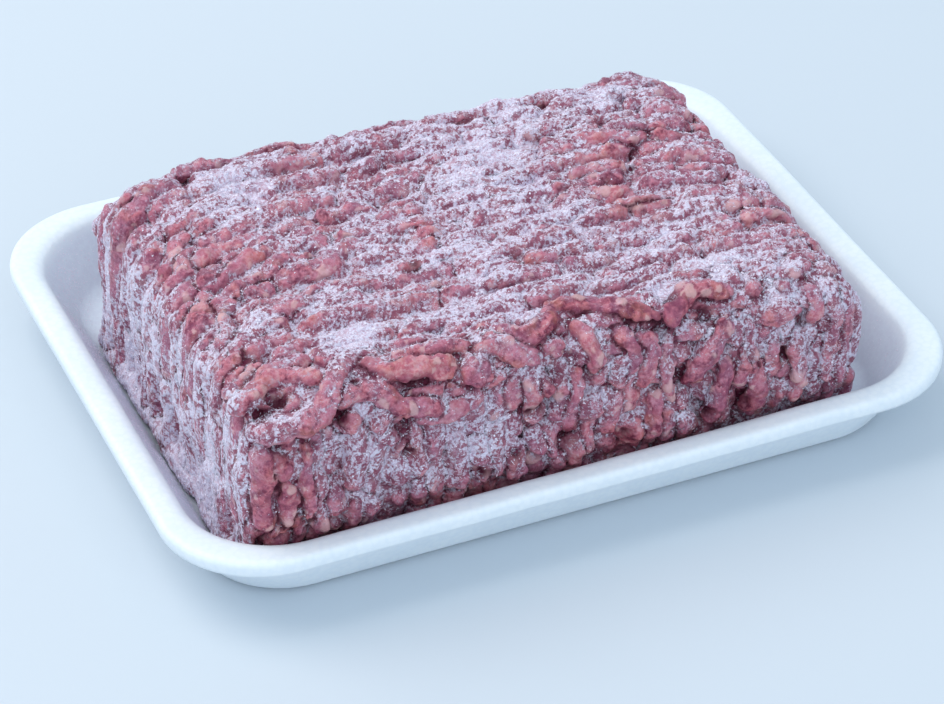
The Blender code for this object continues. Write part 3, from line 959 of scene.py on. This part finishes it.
def needles(places, ways, lengths):
    """Three-sided spikes that stand off the surface."""
    count = len(places)
    widths = 0.09 * MM + 0.06 * MM * random.random(count)
    ways = unit(ways + random.normal(scale=1.0, size=(count, 3)))
    aside = unit(np.cross(ways, random.normal(size=(count, 3))))
    other = np.cross(ways, aside)
    corners = []
    for angle in (0, 2 * math.pi / 3, 4 * math.pi / 3):
        spoke = aside * math.cos(angle) + other * math.sin(angle)
        corners.append(places + spoke * widths[:, None] - ways * 0.15 * MM)
    corners.append(places + ways * lengths[:, None])
    faces = NEEDLE_FACES[None] + 4 * np.arange(count)[:, None, None]
    return np.stack(corners, axis=1).reshape(-1, 3), faces.reshape(-1, 3)


def build_frost(surface, look):
    """Crystals on the block: grains and clumps where the frost is thick, needles round its edges."""
    verts, quads, normals, frost, valley, clump = surface
    faces = np.vstack([quads[:, [0, 1, 2]], quads[:, [0, 2, 3]]])
    tips = np.clip(1.2 - 1.7 * clump, 0.06, 1)
    thick = 0.003 + np.clip(frost - 0.16, 0, 0.9) ** 1.1 * tips
    thick = thick * (1 - 0.5 * smooth(-normals[:, 1] * 1.5 - 0.3))
    thick = thick * (1 - 0.6 * smooth(-normals[:, 0] * 1.5 - 0.3))
    edge = np.exp(-(((frost - 0.2) / 0.12) ** 2)) * np.clip(0.7 - valley, 0.1, 1.2) + 0.1 * thick
    # What makes each kind, how many, where, the smallest size and how much the largest adds, in mm
    kinds = {
        "frost_grains": (grains, GRAINS, thick, 0.16, 0.2),
        "frost_clumps": (grains, CLUMPS, thick, 0.3, 0.22),
        "frost_needles": (needles, NEEDLES, edge, 0.4, 0.7),
    }
    for name, (grow, count, liking, least, more) in kinds.items():
        places, ways = scatter(count, verts, faces, normals, liking)
        points, shapes = grow(places, ways, least * MM + more * MM * random.random(count) ** 2)
        make_mesh(name, keep_inside(points, 0.02 * MM), shapes, look, smooth_shading=False)


# ---- materials ----


class Nodes:
    """Short ways to add nodes to one material."""

    def __init__(self, name):
        self.material = bpy.data.materials.new(name)
        self.material.use_nodes = True
        self.tree = self.material.node_tree
        self.shader = self.tree.nodes["Principled BSDF"]
        self.place = self.tree.nodes.new("ShaderNodeTexCoord").outputs["Object"]

    def link(self, source, target):
        self.tree.links.new(source, target)

    def set(self, socket, value):
        if hasattr(value, "is_linked"):
            self.link(value, socket)
        else:
            socket.default_value = value

    def new(self, kind, **inputs):
        node = self.tree.nodes.new("ShaderNode" + kind)
        for name, value in inputs.items():
            self.set(node.inputs[name], value)
        return node

    def noise(self, size, detail=3.0, rough=0.55, place=None):
        place = place or self.place
        node = self.new("TexNoise", Vector=place, Scale=1 / size, Detail=detail, Roughness=rough)
        return node.outputs["Fac"]

    def cells(self, size):
        """How far each point is from the nearest of many centres."""
        return self.new("TexVoronoi", Vector=self.place, Scale=1 / size).outputs["Distance"]

    def value(self, name):
        """A number that the mesh keeps at each point."""
        node = self.new("Attribute")
        node.attribute_name = name
        return node.outputs["Fac"]

    def math(self, kind, a, b):
        node = self.new("Math")
        node.operation = kind
        self.set(node.inputs[0], a)
        self.set(node.inputs[1], b)
        return node.outputs[0]

    def vary(self, value, pattern, amount, middle=0.5):
        """The value, moved up and down by that much of a pattern."""
        moved = self.math("SUBTRACT", pattern, middle)
        return self.math("ADD", value, self.math("MULTIPLY", moved, amount))

    def span(self, value, low, high, to_low=0.0, to_high=1.0):
        """Maps low..high to to_low..to_high, smoothly."""
        ends = {"From Min": low, "From Max": high, "To Min": to_low, "To Max": to_high}
        node = self.new("MapRange", Value=value, **ends)
        node.interpolation_type = "SMOOTHSTEP"
        return node.outputs["Result"]

    def blend(self, fac, a, b):
        node = self.new("Mix")
        node.data_type = "RGBA"
        self.set(node.inputs["Factor"], fac)
        for socket, colour in ((node.inputs["A"], a), (node.inputs["B"], b)):
            target = [s for s in node.inputs if s.name == socket.name and s.type == "RGBA"][0]
            self.set(target, (*colour, 1.0) if isinstance(colour, tuple) else colour)
        return [s for s in node.outputs if s.type == "RGBA"][0]

    def bump(self, height, distance, strength, normal=None):
        node = self.new("Bump", Height=height, Distance=distance, Strength=strength)
        if normal is not None:
            self.link(normal, node.inputs["Normal"])
        return node.outputs["Normal"]

    def finish(self, colour, roughness, specular, normal=None):
        """Sets the shader. Specular is one number all over, so it goes on the shader's own socket."""
        self.set(self.shader.inputs["Base Color"], colour)
        self.set(self.shader.inputs["Roughness"], roughness)
        self.shader.inputs["Specular IOR Level"].default_value = specular
        if normal is not None:
            self.link(normal, self.shader.inputs["Normal"])
        return self.material


def foam_look():
    n = Nodes("foam")
    beads = n.cells(1.7 * MM)
    speckle = n.noise(0.55 * MM, 2.0)
    slow = n.noise(18 * MM, 2.0)
    white = n.blend(n.span(slow, 0.3, 0.7), (0.80, 0.865, 0.915), (0.84, 0.895, 0.935))
    # Painted shade: the inner walls, shaded by the block, are tinted darker and bluer
    white = n.blend(n.math("MULTIPLY", n.value("inside"), 0.8), white, (0.64, 0.69, 0.80))
    white = n.blend(n.span(beads, 0.35, 0.75, 0.0, 0.35), white, (0.72, 0.80, 0.88))
    white = n.blend(n.span(speckle, 0.62, 0.74, 0.0, 0.35), white, (0.93, 0.96, 0.99))
    relief = n.bump(speckle, 0.05 * MM, 0.5, n.bump(beads, 0.10 * MM, 0.45))
    return n.finish(white, n.span(speckle, 0.3, 0.7, 0.34, 0.48), 0.35, relief)


# Linear colours of the meat and of the rime on it, and of the shade painted in its gaps and pits
DEEP_RED = (0.17, 0.02, 0.05)
LEAN_RED = (0.50, 0.13, 0.165)
PALE_LEAN = (0.62, 0.30, 0.31)
BROWN_LEAN = (0.50, 0.17, 0.12)
PURPLE_LEAN = (0.34, 0.095, 0.17)
FAT_PINK = (0.70, 0.45, 0.43)
ICE_FLECK = (0.82, 0.62, 0.68)
ICE_VEIL = (0.76, 0.44, 0.58)
GAP_SHADE_MAROON = (0.065, 0.006, 0.02)
PIT_MAROON = (0.16, 0.02, 0.055)
RIME_SHADE = (0.58, 0.44, 0.57)
RIME_THIN = (0.70, 0.66, 0.79)
RIME_THICK = (0.77, 0.76, 0.90)
RIME_PRESSED = (0.70, 0.69, 0.83)


def mince_look():
    n = Nodes("mince")
    names = ("frost", "fat", "tone", "deep_shade", "flat", "pit", "gap")
    frost, fat, tone, deep_shade, flat, pit, gap = map(n.value, names)
    streak = n.noise(2.4 * MM, 4.0, 0.6)
    fine = n.noise(1.0 * MM, 3.0, 0.6)
    crumbs = n.noise(0.62 * MM, 3.0, 0.7)
    down = n.tree.nodes.new("ShaderNodeMapping")
    down.inputs["Scale"].default_value = (1.0, 1.0, 0.16)
    n.link(n.place, down.inputs["Vector"])
    hanging = n.noise(1.1 * MM, 3.0, 0.6, down.outputs["Vector"])

    # Lean meat, in shades that change from strand to strand and bit to bit
    shade = n.vary(n.vary(tone, streak, 1.9), fine, 0.9)
    lean = n.blend(n.span(shade, 0.1, 0.6), DEEP_RED, LEAN_RED)
    lean = n.blend(n.span(shade, 0.55, 1.0, 0.0, 0.9), lean, PALE_LEAN)
    lean = n.blend(n.span(n.noise(5 * MM, 2.0), 0.50, 0.66, 0.0, 0.38), lean, BROWN_LEAN)
    lean = n.blend(n.span(n.noise(9 * MM, 2.0), 0.42, 0.62, 0.0, 0.5), lean, PURPLE_LEAN)
    meat = n.blend(n.span(n.vary(fat, fine, 0.9), 0.2, 0.95, 0.0, 0.62), lean, FAT_PINK)

    # Single ice crystals and a thin veil of ice pale it
    meat = n.blend(n.span(crumbs, 0.60, 0.74, 0.0, 0.5), meat, ICE_FLECK)
    meat = n.blend(n.span(n.vary(frost, fine, 1.3), -0.40, 0.35, 0.02, 0.33), meat, ICE_VEIL)

    # Painted shade, dark maroon, in the cracks between strands, the valleys and the hollows
    crack = n.span(n.vary(gap, fine, 0.9), 0.08, 0.5, 1.0, 0.0)
    crack = n.math("MULTIPLY", crack, n.span(n.noise(5 * MM, 2.0), 0.38, 0.56))
    gap_shade = n.math("MAXIMUM", deep_shade, n.math("MULTIPLY", crack, 0.95))
    meat = n.blend(gap_shade, meat, GAP_SHADE_MAROON)

    # Rime: white at the tips of its clumps, darker between them, where bare meat and painted shade show
    edge = n.vary(frost, fine, 0.9)
    edge = n.vary(edge, crumbs, n.math("SUBTRACT", 1.4, n.math("MULTIPLY", flat, 0.7)))
    edge = n.vary(edge, hanging, n.math("MULTIPLY", flat, 2.2))
    edge = n.vary(edge, pit, -0.55, 0.45)
    edge = n.math("SUBTRACT", edge, n.math("MULTIPLY", crack, 0.35))
    dark = n.span(n.vary(pit, crumbs, -1.1), 0.46, 0.66)
    dark = n.math("MULTIPLY", dark, n.span(frost, 0.45, 0.95, 0.9, 0.3))
    dark = n.math("MULTIPLY", dark, n.span(frost, 0.05, 0.3))
    meat = n.blend(n.math("MULTIPLY", dark, 0.75), meat, PIT_MAROON)
    cover = n.math("MULTIPLY", n.span(edge, 0.04, 0.56, 0.0, 0.93), n.math("SUBTRACT", 1.0, dark))
    white = n.blend(n.span(frost, 0.35, 0.9), RIME_THIN, RIME_THICK)
    rime = n.blend(n.span(crumbs, 0.34, 0.6), RIME_SHADE, white)
    rime = n.blend(n.math("MULTIPLY", flat, 0.6), rime, RIME_PRESSED)

    # Fibres in the meat and crumbs in the rime
    grain = n.math("ADD", streak, n.math("MULTIPLY", fine, 0.8))
    grain = n.math("SUBTRACT", grain, n.math("MULTIPLY", crack, 0.8))
    fibre = n.bump(grain, 0.6 * MM, 0.75)
    rough = n.math("MULTIPLY", n.math("ADD", crumbs, fine), cover)
    relief = n.bump(rough, 0.25 * MM, 0.6, fibre)
    return n.finish(n.blend(cover, meat, rime), n.span(cover, 0.1, 0.7, 0.36, 0.7), 0.2, relief)


def frost_look():
    n = Nodes("frost")
    patch = n.noise(5 * MM, 3.0)
    grain = n.noise(0.6 * MM, 1.0)
    ice = n.blend(n.span(patch, 0.35, 0.65), (0.82, 0.75, 0.86), (0.89, 0.86, 0.97))
    ice = n.blend(n.span(grain, 0.35, 0.6, 0.3, 0.0), ice, (0.72, 0.56, 0.66))
    return n.finish(ice, n.span(grain, 0.3, 0.7, 0.3, 0.55), 0.5)


def floor_look():
    n = Nodes("table")
    slow = n.noise(0.35, 2.0)
    colour = n.blend(slow, (0.60, 0.655, 0.71), (0.62, 0.675, 0.73))
    return n.finish(colour, n.span(n.noise(0.02, 3.0), 0.2, 0.8, 0.55, 0.7), 0.2)


# ---- stage ----


CAMERA_AZIMUTH = -23.12
CAMERA_ELEVATION = 35.46
CAMERA_ROLL = -0.61
CAMERA_PLACE = (-0.3154, -0.7419, 0.5768)
CAMERA_LENS = 133.9


def build_camera():
    data = bpy.data.cameras.new("camera")
    data.lens = CAMERA_LENS
    data.sensor_width = 36.0
    data.clip_start = 0.01
    camera = bpy.data.objects.new("camera", data)
    turn = Matrix.Rotation(math.radians(CAMERA_AZIMUTH), 4, "Z")
    turn = turn @ Matrix.Rotation(math.radians(90 - CAMERA_ELEVATION), 4, "X")
    turn = turn @ Matrix.Rotation(math.radians(CAMERA_ROLL), 4, "Z")
    camera.matrix_world = Matrix.Translation(CAMERA_PLACE) @ turn
    bpy.context.scene.collection.objects.link(camera)
    bpy.context.scene.camera = camera


def build_light(name, place, aim, size, power, colour):
    data = bpy.data.lights.new(name, "AREA")
    data.shape = "DISK"
    data.size = size
    data.energy = power
    data.color = colour
    lamp = bpy.data.objects.new(name, data)
    way = Vector(aim) - Vector(place)
    lamp.matrix_world = Matrix.Translation(place) @ way.to_track_quat("-Z", "Y").to_matrix().to_4x4()
    bpy.context.scene.collection.objects.link(lamp)


def build_stage():
    floor = bpy.data.meshes.new("floor")
    reach = 4.0
    corners = [(-reach, -reach, 0), (reach, -reach, 0), (reach, reach, 0), (-reach, reach, 0)]
    floor.from_pydata(corners, [], [(0, 1, 2, 3)])
    floor.materials.append(floor_look())
    stage = bpy.data.objects.new("floor", floor)
    stage.location.z = -0.0002
    bpy.context.scene.collection.objects.link(stage)
    stage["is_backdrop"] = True
    world = bpy.data.worlds.new("soft")
    world.use_nodes = True
    sky = world.node_tree.nodes["Background"]
    sky.inputs["Color"].default_value = (0.73, 0.87, 1.0, 1.0)
    sky.inputs["Strength"].default_value = 0.88
    bpy.context.scene.world = world
    build_light("key", (-0.68, 0.55, 1.25), (0, 0, 0.03), 1.4, 13.3, (1.0, 0.95, 0.90))
    build_light("fill", (-0.2, -1.4, 0.9), (0, 0, 0.03), 1.8, 7.0, (0.92, 0.96, 1.0))
    bpy.context.scene.view_settings.view_transform = "Standard"
    bpy.context.scene.view_settings.look = "None"


build_camera()
build_stage()
tray_surface = build_tray(foam_look())
mince_surface = build_mince(mince_look())
ice = frost_look()
build_frost(mince_surface, ice)
build_tray_frost(tray_surface, ice)

box_of = {"cad": CAD_BOX, "visual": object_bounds()}
{name: [list(map(float, corner)) for corner in box] for name, box in box_of.items()}
